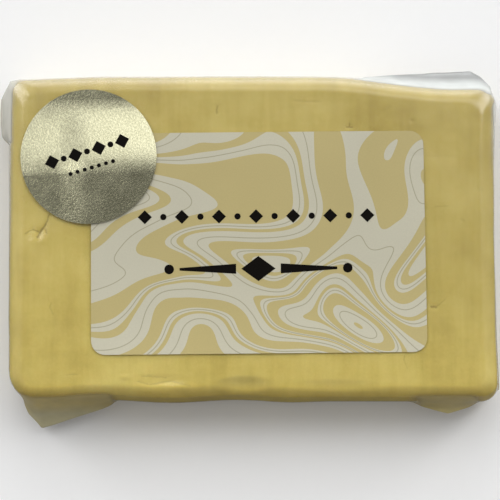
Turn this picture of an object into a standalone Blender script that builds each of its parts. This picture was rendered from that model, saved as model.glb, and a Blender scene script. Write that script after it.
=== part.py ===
"""A slab of halloumi sealed in clear shrink film, on its back, with a paper label and a round foil sticker.

Lengths are in millimetres and become metres as each mesh is made. +Z is up and out of the labelled face, and
+Y is towards the label's upper edge. The origin is on the underside, below the middle of the whole outline.
"""

import math

import bmesh
import bpy

MM = 0.001

# Slab: in plan a rectangle with four different corners, which bend_plan then bends a little
LEFT, RIGHT = -65.8, 67.6
BOTTOM, TOP = -42.3, 47.4
CORNER_RADII = {"bottom_left": 8.0, "bottom_right": 4.3, "top_right": 4.4, "top_left": 3.0}
LEAST_RADIUS = 1.0
THICKNESS = 20.5
DOME = 0.9

# Width and depth of the rounded edge above and below
UPPER_ROLL = (5.2, 7.0)
LOWER_ROLL = (4.5, 5.5)

# How the plan bends: the top edge falls at both ends, the left side leans, the right side is waisted and
# the bottom edge waves
RIGHT_FALL, RIGHT_FALL_FROM, RIGHT_FALL_TO = 3.3, 18.0, 56.0
LEFT_FALL, LEFT_FALL_FROM, LEFT_FALL_TO = 0.85, -34.0, -66.0
LEAN = 0.45
WAIST, WAIST_Y = 0.8, 3.0
WAVE, WAVE_LENGTH, WAVE_CREST = 0.4, 36.0, -21.4
WAVE_END, WAVE_GONE = 6.0, 26.0

# Hollows and lumps on the lower rolled edge: centre, half-lengths along X and Y, height
RELIEF = {
    "long_hollow": ((-1.2, -38.4), (8.0, 2.6), -0.9),
    "fold": ((-23.5, -36.9), (8.5, 1.5), -0.45),
    "lump_below_fold": ((-18.5, -38.8), (4.5, 1.6), 0.4),
    "right_hollow": ((24.0, -38.6), (14.0, 2.0), -0.35),
}

# Film ears: the corners of each ear's outer edge in plan, and the height of the seam at that end of the slab
EAR_EDGES = {
    "top_left": [(-63.4, 47.2), (-66.6, 46.8), (-69.1, 41.6), (-69.2, 37.6), (-68.8, 31.2), (-66.9, 28.8)],
    "left_strip": [(-66.9, 28.8), (-66.1, -34.0)],
    "top_right": [(26.0, 47.4), (61.8, 49.6), (64.8, 47.9), (67.3, 45.1), (69.2, 39.4), (67.7, 12.0)],
    "bottom_left": [(-66.1, -34.0), (-60.6, -45.3), (-56.9, -49.6), (-40.2, -44.4), (-34.8, -42.0)],
    "bottom_right": [(42.5, -42.4), (54.9, -45.6), (66.2, -42.1), (69.2, -39.1), (67.9, -6.0)],
}
EAR_TIPS = [(-69.2, 37.6), (61.8, 49.6), (69.2, 39.4), (-56.9, -49.6), (54.9, -45.6), (69.2, -39.1)]
SEAM_HEIGHTS = {"bottom_left": 5.6, "bottom_right": 6.4, "top_right": 9.6, "top_left": 8.4}
SEAM_DROOP = 0.22
EAR_THICKNESS = 0.9
LEAST_EAR, FULL_EAR, LONGEST_EAR = 0.15, 1.6, 15.0

# Label and sticker: each lies a small gap above what it is stuck to
LABEL_SIZE = (90.0, 60.0)
LABEL_CORNER = 3.8
LABEL_CENTRE = (2.6, 0.1)
LABEL_TURN = math.radians(0.55)
STICKER_RADIUS = 18.5
STICKER_CENTRE = (-43.3, 23.4)
SKIN = 0.3
GAP = 0.3

# The sticker steps down from the label over this stretch beside the label's edge
STEP_START, STEP_WIDTH = 0.6, 5.0

# How finely the surfaces are divided
FACE_CELLS = (40, 26)
CLUSTERING = 0.55
ROLL_TURN = math.radians(50.0)
UPPER_ROLL_STEPS = 5
SIDE_STEPS = 5
LOWER_ROLL_STEPS = 3
LABEL_CELLS = (18, 8)
LABEL_CORNER_STEPS = 4
STICKER_RINGS, STICKER_SPOKES = 7, 44

CORNER_ORDER = ("bottom_left", "bottom_right", "top_right", "top_left")


def smooth(low, high, value):
    """0 at low, 1 at high and an even S between them."""
    t = min(max((value - low) / (high - low), 0.0), 1.0)
    return t * t * (3.0 - 2.0 * t)


def mix(a, b, share):
    return a + (b - a) * share


def bend_plan(x, y):
    """Where a point of the plain plan goes as the slab's edges fall, narrow and wave."""
    fall = RIGHT_FALL * smooth(RIGHT_FALL_FROM, RIGHT_FALL_TO, x)
    fall += LEFT_FALL * smooth(LEFT_FALL_FROM, LEFT_FALL_TO, x)
    lean = LEAN * y / TOP * smooth(0.0, LEFT, x)
    waist = WAIST * ((y - WAIST_Y) / TOP) ** 2 * smooth(0.0, RIGHT, x)
    crest = math.cos(2.0 * math.pi * (x - WAVE_CREST) / WAVE_LENGTH)
    wave = WAVE * crest * (1.0 - smooth(WAVE_END, WAVE_GONE, x))
    y_shift = fall * smooth(0.0, TOP, y) + wave * smooth(0.0, BOTTOM, y)
    return x + waist - lean, y - y_shift


def unbend_plan(x, y):
    """The point of the plain plan that bend_plan takes to (x, y)."""
    plain_x, plain_y = x, y
    for _ in range(3):
        bent_x, bent_y = bend_plan(plain_x, plain_y)
        plain_x += x - bent_x
        plain_y += y - bent_y
    return plain_x, plain_y


def corner_of(name, inset=0.0):
    """Centre and radius of one rounded corner of the plain plan, or of the outline that lies inset in it."""
    radius = max(CORNER_RADII[name] - inset, LEAST_RADIUS)
    reach = inset + radius
    x = LEFT + reach if "left" in name else RIGHT - reach
    y = BOTTOM + reach if "bottom" in name else TOP - reach
    return x, y, radius


def inset_of(x, y):
    """How far inside the plain plan's straight edges a point lies."""
    return min(x - LEFT, RIGHT - x, y - BOTTOM, TOP - y)


def dome_height(x, y):
    """Height of the labelled face over a point of the plain plan, inside its rolled edge."""
    across = (x - (LEFT + RIGHT) / 2) / ((RIGHT - LEFT) / 2)
    along = (y - (BOTTOM + TOP) / 2) / ((TOP - BOTTOM) / 2)
    return THICKNESS - DOME * (0.5 * across**4 + 0.5 * along**4)


def top_height(x, y):
    """Height of the slab's upper surface over a point of the finished plan, clear of the corners."""
    plain_x, plain_y = unbend_plan(x, y)
    wide, deep = UPPER_ROLL
    into_roll = min(max((wide - inset_of(plain_x, plain_y)) / wide, 0.0), 1.0)
    return dome_height(plain_x, plain_y) - deep * (1.0 - math.sqrt(1.0 - into_roll**2))


def relief_height(x, y):
    """Sum of the hollows and lumps at a point of the finished plan."""
    height = 0.0
    for centre, half, rise in RELIEF.values():
        away = math.hypot((x - centre[0]) / half[0], (y - centre[1]) / half[1])
        height += rise * (1.0 - smooth(0.0, 1.0, away))
    return height


def edge_point(side, share, inset=0.0):
    """Point and outward angle on the plain plan's edge, at a share of one side from mid-corner to mid-corner.

    Side 0 is the bottom and the others follow anticlockwise. With an inset the point lies on the smaller
    outline, beside the one on the edge.
    """
    names = CORNER_ORDER[side], CORNER_ORDER[(side + 1) % 4]
    edge = [corner_of(name) for name in names]
    first, second = (corner_of(name, inset) for name in names)
    arcs = [corner[2] * math.pi / 4 for corner in edge]
    straight = abs(edge[1][side % 2] - edge[0][side % 2])
    travelled = share * (arcs[0] + straight + arcs[1])
    before = min(travelled - arcs[0], 0.0) / edge[0][2]
    after = max(travelled - arcs[0] - straight, 0.0) / edge[1][2]
    run = min(max((travelled - arcs[0]) / straight, 0.0), 1.0)
    angle = math.radians(90.0 * side - 90.0) + before + after
    radius = mix(first[2], second[2], run)
    x = mix(first[0], second[0], run) + radius * math.cos(angle)
    y = mix(first[1], second[1], run) + radius * math.sin(angle)
    return (x, y), angle


def ear_reach(point, normal):
    """How far the film stands out of the slab's edge at a point, along its normal."""
    reach = LEAST_EAR
    for edge in EAR_EDGES.values():
        for (ax, ay), (bx, by) in zip(edge, edge[1:]):
            run_x, run_y = bx - ax, by - ay
            cross = normal[0] * run_y - normal[1] * run_x
            if abs(cross) < 1e-9:
                continue
            to_x, to_y = ax - point[0], ay - point[1]
            distance = (to_x * run_y - to_y * run_x) / cross
            place = (to_x * normal[1] - to_y * normal[0]) / cross
            if 0.0 <= place <= 1.0 and 0.0 < distance < LONGEST_EAR:
                reach = max(reach, distance)
    return reach


def edge_ring():
    """Every point round the slab's edge: its side, share and place, and the film's edge beyond it."""
    ring = []
    for side in range(4):
        cells = FACE_CELLS[side % 2]
        for cell in range(cells):
            even = cell / cells
            share = mix(even, 0.5 - 0.5 * math.cos(math.pi * even), CLUSTERING)
            plain, angle = edge_point(side, share)
            point = bend_plan(*plain)
            normal = (math.cos(angle), math.sin(angle))
            reach = ear_reach(point, normal)
            outer = (point[0] + normal[0] * reach, point[1] + normal[1] * reach)
            ring.append({"side": side, "share": share, "point": point, "outer": outer})
    for tip in EAR_TIPS:
        nearest = min(ring, key=lambda entry: math.dist(entry["outer"], tip))
        nearest["outer"] = tip
    return ring


def seam_height(x, y, reach):
    """Height of the seam where the film's two sheets meet."""
    across = (x - LEFT) / (RIGHT - LEFT)
    along = (y - BOTTOM) / (TOP - BOTTOM)
    low = mix(SEAM_HEIGHTS["bottom_left"], SEAM_HEIGHTS["bottom_right"], across)
    high = mix(SEAM_HEIGHTS["top_left"], SEAM_HEIGHTS["top_right"], across)
    return mix(low, high, along) - SEAM_DROOP * reach


def bezier(points, share):
    """Point at a share of a cubic curve with four control points."""
    rest = 1.0 - share
    weights = (rest**3, 3 * rest**2 * share, 3 * rest * share**2, share**3)
    return tuple(sum(w * p[axis] for w, p in zip(weights, points)) for axis in range(2))


def between(first, second, share):
    return tuple(mix(a, b, share) for a, b in zip(first, second))


def side_profile(reach, seam, shoulder):
    """(distance out of the edge, height) of every row below the face.

    The film lies on the slab where there is no ear. Where there is one, its upper sheet leaves the rolled
    edge for the seam, and its lower sheet comes back from the seam to the slab.
    """
    wide, deep = UPPER_ROLL
    half = EAR_THICKNESS / 2
    ear = smooth(LEAST_EAR, FULL_EAR, reach)
    rows = []
    for step in range(1, UPPER_ROLL_STEPS + 1):
        angle = ROLL_TURN * step / UPPER_ROLL_STEPS
        rows.append((-wide * (1 - math.sin(angle)), shoulder - deep * (1 - math.cos(angle))))
    leave = rows[-1]
    edge = (reach, seam + half)
    sheet = (leave, (0.1, leave[1] - 2.4), (0.55 * reach, seam + half + 0.8), edge)
    for step in range(1, SIDE_STEPS):
        share = step / SIDE_STEPS
        angle = mix(ROLL_TURN, math.pi / 2, share)
        on_slab = (-wide * (1 - math.sin(angle)), mix(leave[1], edge[1], share))
        rows.append(between(on_slab, bezier(sheet, share), ear))
    rows.append(edge)
    edge = (reach, seam - half)
    rows.append(edge)
    land = (0.0, min(LOWER_ROLL[1], seam - 1.4))
    sheet = (edge, (0.35 * reach, edge[1]), (0.0, edge[1] - 0.3), land)
    for step in range(1, SIDE_STEPS):
        share = step / (SIDE_STEPS - 1)
        on_slab = (0.0, mix(edge[1], land[1], share))
        rows.append(between(on_slab, bezier(sheet, share), ear))
    for step in range(1, LOWER_ROLL_STEPS + 1):
        angle = math.pi / 2 * (1 - step / LOWER_ROLL_STEPS)
        rows.append((-LOWER_ROLL[0] * (1 - math.sin(angle)), land[1] * (1 - math.cos(angle))))
    return rows


def face_points(ring):
    """Plain plan points of the labelled face, row by row, filled in from its border."""
    across, along = FACE_CELLS
    border = [edge_point(entry["side"], entry["share"], UPPER_ROLL[0])[0] for entry in ring]
    bottom = border[: across + 1]
    right = border[across : across + along + 1]
    top = border[across + along : 2 * across + along + 1][::-1]
    left = (border[2 * across + along :] + border[:1])[::-1]
    rows = []
    for j in range(along + 1):
        v = j / along
        row = []
        for i in range(across + 1):
            u = i / across
            point = []
            for axis in range(2):
                low = mix(bottom[0][axis], bottom[-1][axis], u)
                high = mix(top[0][axis], top[-1][axis], u)
                corners = mix(low, high, v)
                sides = mix(bottom[i][axis], top[i][axis], v) + mix(left[j][axis], right[j][axis], u)
                point.append(sides - corners)
            row.append(tuple(point))
        rows.append(row)
    return rows


def fill_rows(work, rows):
    """Covers a grid of vertices with faces."""
    for near, far in zip(rows, rows[1:]):
        for i in range(len(near) - 1):
            work.faces.new((near[i], near[i + 1], far[i + 1], far[i]))


def grid_border(rows):
    """The border of a grid of vertices, anticlockwise from its first corner."""
    bottom = rows[0][:-1]
    right = [row[-1] for row in rows[:-1]]
    top = rows[-1][:0:-1]
    left = [row[0] for row in rows[:0:-1]]
    return bottom + right + top + left


def join_rings(work, upper, lower):
    """Covers the band between two rings of vertices with faces."""
    for i in range(len(upper)):
        j = (i + 1) % len(upper)
        work.faces.new((upper[i], lower[i], lower[j], upper[j]))


def finished(name, work, material, sharp_angle=60.0):
    """Turns a bmesh in millimetres into a named object in metres."""
    bmesh.ops.recalc_face_normals(work, faces=work.faces)
    bmesh.ops.scale(work, vec=(MM, MM, MM), verts=work.verts)
    mesh = bpy.data.meshes.new(name)
    work.to_mesh(mesh)
    work.free()
    mesh.shade_smooth()
    mesh.set_sharp_from_angle(angle=math.radians(sharp_angle))
    mesh.materials.append(material)
    obj = bpy.data.objects.new(name, mesh)
    bpy.context.scene.collection.objects.link(obj)
    return obj


def thickened(obj, thickness):
    """Gives an open sheet its thickness, above the side that it was drawn on."""
    if obj.data.polygons[0].normal.z < 0:
        obj.data.flip_normals()
    solidify = obj.modifiers.new("Thickness", "SOLIDIFY")
    solidify.thickness = thickness * MM
    solidify.offset = 1.0
    return obj


def make_pack(material):
    """The slab in its film: a domed face, rolled edges, four ears and a flat underside."""
    work = bmesh.new()
    ring = edge_ring()
    rows = []
    for plain_row in face_points(ring):
        row = []
        for plain in plain_row:
            x, y = bend_plan(*plain)
            row.append(work.verts.new((x, y, dome_height(*plain) + relief_height(x, y))))
        rows.append(row)
    fill_rows(work, rows)
    upper = grid_border(rows)
    profiles = []
    for entry in ring:
        entry["reach"] = math.dist(entry["point"], entry["outer"])
        shoulder = dome_height(*edge_point(entry["side"], entry["share"], UPPER_ROLL[0])[0])
        seam = seam_height(*entry["point"], entry["reach"])
        profiles.append(side_profile(entry["reach"], seam, shoulder))
    for level in range(len(profiles[0])):
        lower = []
        for entry, profile in zip(ring, profiles):
            out, height = profile[level]
            if out > 0:
                x, y = between(entry["point"], entry["outer"], out / entry["reach"])
            else:
                x, y = bend_plan(*edge_point(entry["side"], entry["share"], -out)[0])
            if level < UPPER_ROLL_STEPS:
                height += relief_height(x, y)
            lower.append(work.verts.new((x, y, height)))
        join_rings(work, upper, lower)
        upper = lower
    work.faces.new(upper)
    return finished("cheese_pack", work, material)


def label_axes(x, y):
    """A point of the finished plan, measured from the label's centre along its own two directions."""
    cos, sin = math.cos(LABEL_TURN), math.sin(LABEL_TURN)
    from_x, from_y = x - LABEL_CENTRE[0], y - LABEL_CENTRE[1]
    return from_x * cos + from_y * sin, from_y * cos - from_x * sin


def label_plan(x, y):
    """Where a point of the label, measured from its centre, lies in the finished plan."""
    cos, sin = math.cos(LABEL_TURN), math.sin(LABEL_TURN)
    return LABEL_CENTRE[0] + x * cos - y * sin, LABEL_CENTRE[1] + x * sin + y * cos


def label_rows():
    """(distance from the label's middle line, half-width there) of each row, from its lower edge up."""
    half_x, half_y = LABEL_SIZE[0] / 2, LABEL_SIZE[1] / 2
    straight = half_y - LABEL_CORNER
    upper = []
    for step in range(LABEL_CELLS[1] // 2):
        upper.append((straight * step / (LABEL_CELLS[1] // 2), half_x))
    for step in range(LABEL_CORNER_STEPS + 1):
        angle = math.pi / 2 * step / LABEL_CORNER_STEPS
        shrink = LABEL_CORNER * (1 - math.cos(angle))
        upper.append((straight + LABEL_CORNER * math.sin(angle), half_x - shrink))
    return [(-y, half) for y, half in upper[:0:-1]] + upper


def make_label(material):
    """The paper label: a sheet with rounded corners that follows the face."""
    work = bmesh.new()
    rows = []
    for along, half in label_rows():
        row = []
        for cell in range(LABEL_CELLS[0] + 1):
            x, y = label_plan(mix(-half, half, cell / LABEL_CELLS[0]), along)
            row.append(work.verts.new((x, y, top_height(x, y) + GAP)))
        rows.append(row)
    fill_rows(work, rows)
    return thickened(finished("front_label", work, material), SKIN)


def sticker_height(x, y):
    """Height of the sticker's underside, which climbs onto the label's corner."""
    over_x, over_y = (max(abs(a) - size / 2, 0.0) for a, size in zip(label_axes(x, y), LABEL_SIZE))
    beside = math.hypot(over_x, over_y)
    climb = (SKIN + GAP) * (1 - smooth(STEP_START, STEP_START + STEP_WIDTH, beside))
    return top_height(x, y) + GAP + climb


def make_sticker(material):
    """The round foil sticker, partly on the label and partly on the film."""
    work = bmesh.new()
    centre = work.verts.new((*STICKER_CENTRE, sticker_height(*STICKER_CENTRE)))
    inner = []
    for ring in range(1, STICKER_RINGS + 1):
        radius = STICKER_RADIUS * ring / STICKER_RINGS
        outer = []
        for spoke in range(STICKER_SPOKES):
            angle = 2 * math.pi * spoke / STICKER_SPOKES
            x = STICKER_CENTRE[0] + radius * math.cos(angle)
            y = STICKER_CENTRE[1] + radius * math.sin(angle)
            outer.append(work.verts.new((x, y, sticker_height(x, y))))
        if inner:
            join_rings(work, inner, outer)
        else:
            for i in range(STICKER_SPOKES):
                work.faces.new((centre, outer[i], outer[(i + 1) % STICKER_SPOKES]))
        inner = outer
    return thickened(finished("round_sticker", work, material), SKIN)


def material(name, colour, roughness, metallic=0.0):
    made = bpy.data.materials.new(name)
    made.use_nodes = True
    shader = made.node_tree.nodes["Principled BSDF"]
    shader.inputs["Base Color"].default_value = (*colour, 1.0)
    shader.inputs["Roughness"].default_value = roughness
    shader.inputs["Metallic"].default_value = metallic
    return made


def main():
    for obj in list(bpy.data.objects):
        bpy.data.objects.remove(obj)
    make_pack(material("cheese_in_film", (0.58, 0.45, 0.15), 0.25))
    make_label(material("label_paper", (0.60, 0.55, 0.42), 0.5))
    make_sticker(material("gold_foil", (0.62, 0.58, 0.42), 0.3, metallic=1.0))


main()
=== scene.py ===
"""The looks of a slab of halloumi in clear film, with a paper label and a foil sticker, around its CAD frame.

Shape functions work in millimetres, which become metres in new_piece. +Z is out of the labelled face and +Y
is towards the label's upper edge.
"""

import math

import bpy
import numpy as np
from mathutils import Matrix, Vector, noise


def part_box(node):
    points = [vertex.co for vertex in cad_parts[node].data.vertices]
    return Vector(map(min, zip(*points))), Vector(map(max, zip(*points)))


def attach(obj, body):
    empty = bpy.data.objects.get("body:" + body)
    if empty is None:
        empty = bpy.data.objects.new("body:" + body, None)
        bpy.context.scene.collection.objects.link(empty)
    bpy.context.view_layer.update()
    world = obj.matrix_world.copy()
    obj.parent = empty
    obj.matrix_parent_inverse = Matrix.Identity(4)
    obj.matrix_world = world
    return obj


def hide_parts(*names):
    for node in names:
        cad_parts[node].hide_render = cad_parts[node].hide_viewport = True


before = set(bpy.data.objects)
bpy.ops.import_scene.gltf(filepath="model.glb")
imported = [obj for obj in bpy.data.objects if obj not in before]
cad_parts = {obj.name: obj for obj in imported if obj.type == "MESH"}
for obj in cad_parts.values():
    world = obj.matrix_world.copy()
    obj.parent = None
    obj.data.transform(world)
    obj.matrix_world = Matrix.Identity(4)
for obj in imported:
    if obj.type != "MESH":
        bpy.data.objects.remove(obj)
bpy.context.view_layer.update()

MM = 0.001

# Slab: a rectangle with four different corners, which bend_plan then bends a little. Each millimetre in from
# the edge adds INNER_GROWTH to a corner's radius, up to INNER_RADIUS.
LEFT, RIGHT = -65.8, 67.6
BOTTOM, TOP = -42.3, 47.4
CORNER_RADII = {"bottom_left": 8.0, "bottom_right": 4.3, "top_right": 4.4, "top_left": 3.0}
INNER_RADIUS, INNER_GROWTH = 4.5, 0.35
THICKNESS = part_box("cheese_pack")[1].z / MM
DOME = 0.9

# Width and depth of the rolled edges, and how much wider the upper one is at +Y and narrower at -Y
UPPER_ROLL, LOWER_ROLL = (5.2, 7.0), (4.5, 5.5)
ROLL_SKEW = 1.1

# Bends of the plan: +Y falls towards both ends, the left end leans, the right one has a waist and -Y is wavy
RIGHT_FALL, RIGHT_FALL_FROM, RIGHT_FALL_TO = 3.3, 18.0, 56.0
LEFT_FALL, LEFT_FALL_FROM, LEFT_FALL_TO = 0.85, -34.0, -66.0
LEAN = 0.45
WAIST, WAIST_Y = 0.8, 3.0
WAVE, WAVE_LENGTH, WAVE_CREST = 0.4, 36.0, -21.4
WAVE_END, WAVE_GONE = 6.0, 26.0

CORNER_ORDER = ("bottom_left", "bottom_right", "top_right", "top_left")

# Hollows and lumps on the lower rolled edge: centre, half-lengths along X and Y, height
RELIEF = {
    "long_hollow": ((-1.2, -38.4), (9.0, 2.8), -0.95),
    "fold": ((-23.5, -36.9), (8.5, 1.9), -0.22),
    "lump_below_fold": ((-18.5, -38.8), (5.0, 2.0), 0.16),
    "right_hollow": ((24.0, -38.6), (14.0, 2.0), -0.35),
}

# Film ears: the corners of each ear's outer edge in plan, and the height of the seam at that end of the slab
EAR_EDGES = {
    "top_left": [(-63.4, 47.2), (-66.6, 46.8), (-69.1, 41.6), (-69.2, 37.6), (-68.8, 31.2), (-66.9, 28.8)],
    "left_strip": [(-66.9, 28.8), (-66.1, -34.0)],
    "top_right": [(26.0, 47.4), (61.8, 49.6), (64.8, 47.9), (67.3, 45.1), (69.2, 39.4), (67.7, 12.0)],
    "bottom_left": [(-66.1, -34.0), (-60.6, -45.3), (-56.9, -49.6), (-40.2, -44.4), (-34.8, -42.0)],
    "bottom_right": [(42.5, -42.4), (54.9, -45.6), (66.2, -42.1), (69.2, -39.1), (67.9, -6.0)],
}
SEAM_HEIGHTS = {"bottom_left": 5.6, "bottom_right": 6.4, "top_right": 9.6, "top_left": 8.4}
SEAM_DROOP = 0.22
SEAM_THICKNESS = 0.3

# Reach of the film where it begins to be an ear, where it is wholly one and where the search for it ends
LEAST_EAR, FULL_EAR, LONGEST_EAR = 0.15, 1.6, 15.0
NO_EAR = 0.001

# The ears' two sheets. The upper one leaves the roll at ROLL_TURN, heading out and down, and meets the seam
# from a share of its reach and a rise above it. The lower one goes on to the slab, and leaves some wall there.
ROLL_TURN = math.radians(50.0)
LEAVE_OUT, LEAVE_DROP = 0.1, 2.4
UPPER_SHARE, UPPER_RISE = 0.55, 0.8
LOWER_SHARE, LOWER_DROP = 0.35, 0.3
LEAST_WALL = 1.4

# How much the mesh crowds towards the corners, its cells along X and Y, and its rows down the sides. The
# sticker's mesh has rings and spokes round a hub, whose radius is a share of its own.
CLUSTERING = 0.55
CHEESE_CELLS, CHEESE_STEPS = (236, 156), {"roll": 16, "side": 10, "low": 5}
FILM_CELLS, FILM_STEPS = (168, 112), {"roll": 16, "side": 14, "low": 5}
LABEL_CELLS, LABEL_CORNER_STEPS = (132, 76), 8
STICKER_RINGS, STICKER_SPOKES, STICKER_HUB = 56, 220, 0.004

# Where the ears' haze begins and is full, out of the slab's edge, for its lower and its upper side, which meet
# between the two Y of SIDES_MEET
HAZE_START, HAZE_FULL = (-1.9, -2.4), (-0.6, -0.7)
SIDES_MEET = (-10.0, 10.0)

# Where the film is loose, out of the slab's edge, and how far it and the cheese lie inside the slab's surface
LOOSE_START, LOOSE_FULL = 0.2, 1.5
FILM_INSET, CHEESE_INSET = 0.05, 0.18

# Layers of unevenness, each with the size of its features, its seed and its height
SLAB_LAYERS = ((14.0, 3, 0.16), (5.0, 4, 0.04))
CLOTH_LAYERS, CLOTH_STRETCH, CLOTH_DEPTH = ((1.3, 1, 0.02), (0.55, 2, 0.008)), (0.09, 0.3), 0.03
FOLD_LAYERS, FOLD_STRETCH, FOLD_REACH = ((2.4, 9, 0.25),), (0.5, 0.5, 1.0), 3.0
PAPER_LAYERS = ((19.0, 12, 0.06), (6.0, 13, 0.015))
FOIL_LAYERS = ((11.0, 21, 0.03),)

# Heights between which the slab's unevenness and the ears' folds set in
UNEVEN_FROM, UNEVEN_FULL = 4.0, 9.0
FOLDED_FROM, FOLDED_FULL = 2.0, 5.0

# Label, sticker and ink: sizes, and the gaps and lifts that keep each clear of what is below it
LABEL_SIZE = (90.0, 60.0)
LABEL_CORNER = 3.8
LABEL_CENTRE = (2.6, 0.1)
LABEL_TURN = math.radians(0.55)
LABEL_COS, LABEL_SIN = math.cos(LABEL_TURN), math.sin(LABEL_TURN)
STICKER_RADIUS = 18.45
STICKER_CENTRE = (-43.3, 23.4)
PAPER_THICKNESS = 0.14
FOIL_THICKNESS = 0.12
INK_THICKNESS, INK_LIFT = 0.018, 0.02
STUCK_GAP = 0.05
LABEL_LIFT, STICKER_LIFT = 0.08, 0.14
SHARP_ANGLE = 40.0

# The crease in the label: its ends, half-width and depth
CREASE = ((44.0, 23.5), (48.4, 24.1), 0.9, 0.07)

# The sticker's step up onto the label, and the slope of its plane along X and Y
STEP_START, STEP_WIDTH = 0.4, 9.0
STEP_GAP = 0.09
STICKER_SLOPE = (0.008, -0.004)

# Share of each mark's depth, and its spread in half-widths, in the slab's surface and in the cheese's own
SLAB_MARKS, CHEESE_MARKS = (0.14, 3.0), (0.4, 1.8)

# Small marks in the cheese: ends of each stroke, half-width, depth and how dark its painted shade is
MARKS = [
    ((-53.8, 7.6), (-54.7, 5.0), 0.35, 0.30, 0.75),
    ((-54.7, 5.0), (-56.2, 2.8), 0.45, 0.40, 0.95),
    ((-56.2, 2.8), (-56.8, 1.6), 0.55, 0.40, 0.90),
    ((-56.2, 2.8), (-58.2, 3.6), 0.40, 0.30, 0.70),
    ((-58.2, 3.6), (-60.2, 2.5), 0.30, 0.20, 0.55),
    ((-54.9, 4.0), (-54.4, 2.4), 0.35, 0.25, 0.65),
    ((-8.6, 37.3), (-8.6, 35.4), 0.45, 0.30, 0.60),
    ((27.4, 32.6), (27.4, 31.7), 0.35, 0.30, 0.75),
    ((26.7, 31.6), (28.2, 31.6), 0.35, 0.30, 0.80),
    ((44.3, 33.6), (44.7, 33.3), 0.45, 0.25, 0.60),
    ((49.2, -17.3), (50.4, -17.4), 0.55, 0.35, 0.85),
    ((50.4, -17.4), (53.0, -15.2), 0.25, 0.10, 0.35),
    ((-53.0, -16.2), (-53.3, -17.7), 0.25, 0.15, 0.40),
    ((-53.3, -17.7), (-52.4, -19.2), 0.25, 0.15, 0.35),
    ((-48.7, -35.6), (-45.6, -35.5), 0.25, 0.12, 0.25),
    ((41.7, -30.6), (41.6, -31.9), 0.28, 0.12, 0.40),
    ((41.6, -31.9), (42.5, -33.9), 0.22, 0.08, 0.22),
    ((50.2, 9.6), (54.0, 10.0), 0.25, 0.12, 0.30),
    ((61.8, 15.0), (63.4, 14.4), 0.30, 0.12, 0.35),
    ((57.4, 6.6), (58.2, 6.0), 0.45, 0.12, 0.30),
    ((48.0, 23.7), (56.5, 23.4), 0.25, 0.10, 0.22),
    ((12.5, 38.8), (19.5, 38.5), 0.25, 0.10, 0.22),
    ((34.5, 34.6), (38.5, 37.2), 0.25, 0.10, 0.22),
    ((-29.5, -37.4), (-26.3, -38.2), 0.40, 0.12, 0.30),
    ((-26.3, -38.2), (-20.7, -37.2), 0.45, 0.14, 0.36),
    ((-20.7, -37.2), (-15.6, -38.6), 0.40, 0.10, 0.28),
    ((-28.6, -35.9), (-22.0, -36.3), 0.25, 0.10, 0.25),
]

# Pale lumps in the cheese: centre, half-lengths and height
LUMPS = [
    ((-58.2, 0.4), (1.8, 1.0), 0.16),
    ((-55.4, 0.5), (1.8, 1.0), 0.14),
    ((-18.5, -39.0), (5.0, 1.6), 0.08),
    ((-33.0, -36.2), (2.0, 1.2), 0.16),
    ((-60.0, 41.0), (2.2, 2.2), 0.15),
]

# Camera: the photo's, nearly straight above and a little towards the lower edge
CAMERA_DISTANCE = 500.0
CAMERA_TILT = math.radians(6.5)
CAMERA_AIM = (0.4, -0.85, 10.0)
FOCAL_PIXELS, PHOTO_PIXELS = 1818.0, 500.0


def smooth(low, high, value):
    """0 at low, 1 at high and an even S between them."""
    t = np.clip((value - low) / (high - low), 0.0, 1.0)
    return t * t * (3.0 - 2.0 * t)


def mix(a, b, share):
    return a + (b - a) * share


def noise_at(points, size, seed):
    """Smooth noise from -1 to 1 at each point, with features of about that size."""
    shift = Vector((seed * 17.3, seed * 5.9, seed * 11.1))
    return np.array([noise.noise(Vector(point) / size + shift) for point in points])


def unevenness(points, layers):
    """Sum of layers of noise at each point."""
    return sum(noise_at(points, size, seed) * height for size, seed, height in layers)


def plan_unevenness(x, y, layers):
    """Sum of layers of noise over points of the plan."""
    points = np.stack([np.ravel(x), np.ravel(y), np.zeros(np.size(x))], axis=1)
    return unevenness(points, layers).reshape(np.shape(x))


def bend_plan(x, y):
    """Where points of the plain plan go as the slab's edges fall, narrow and wave."""
    fall = RIGHT_FALL * smooth(RIGHT_FALL_FROM, RIGHT_FALL_TO, x)
    fall += LEFT_FALL * smooth(LEFT_FALL_FROM, LEFT_FALL_TO, x)
    lean = LEAN * y / TOP * smooth(0.0, LEFT, x)
    waist = WAIST * ((y - WAIST_Y) / TOP) ** 2 * smooth(0.0, RIGHT, x)
    crest = np.cos(2.0 * math.pi * (x - WAVE_CREST) / WAVE_LENGTH)
    wave = WAVE * crest * (1.0 - smooth(WAVE_END, WAVE_GONE, x))
    y_shift = fall * smooth(0.0, TOP, y) + wave * smooth(0.0, BOTTOM, y)
    return x + waist - lean, y - y_shift


def unbend_plan(x, y):
    """The points of the plain plan that bend_plan takes to (x, y)."""
    plain_x, plain_y = x, y
    for _ in range(3):
        bent_x, bent_y = bend_plan(plain_x, plain_y)
        plain_x = plain_x + x - bent_x
        plain_y = plain_y + y - bent_y
    return plain_x, plain_y


def dome_height(x, y):
    """Height of the labelled face over points of the plain plan, inside its rolled edge."""
    across = (x - (LEFT + RIGHT) / 2) / ((RIGHT - LEFT) / 2)
    along = (y - (BOTTOM + TOP) / 2) / ((TOP - BOTTOM) / 2)
    return THICKNESS - DOME * (0.5 * across**4 + 0.5 * along**4)


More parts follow.
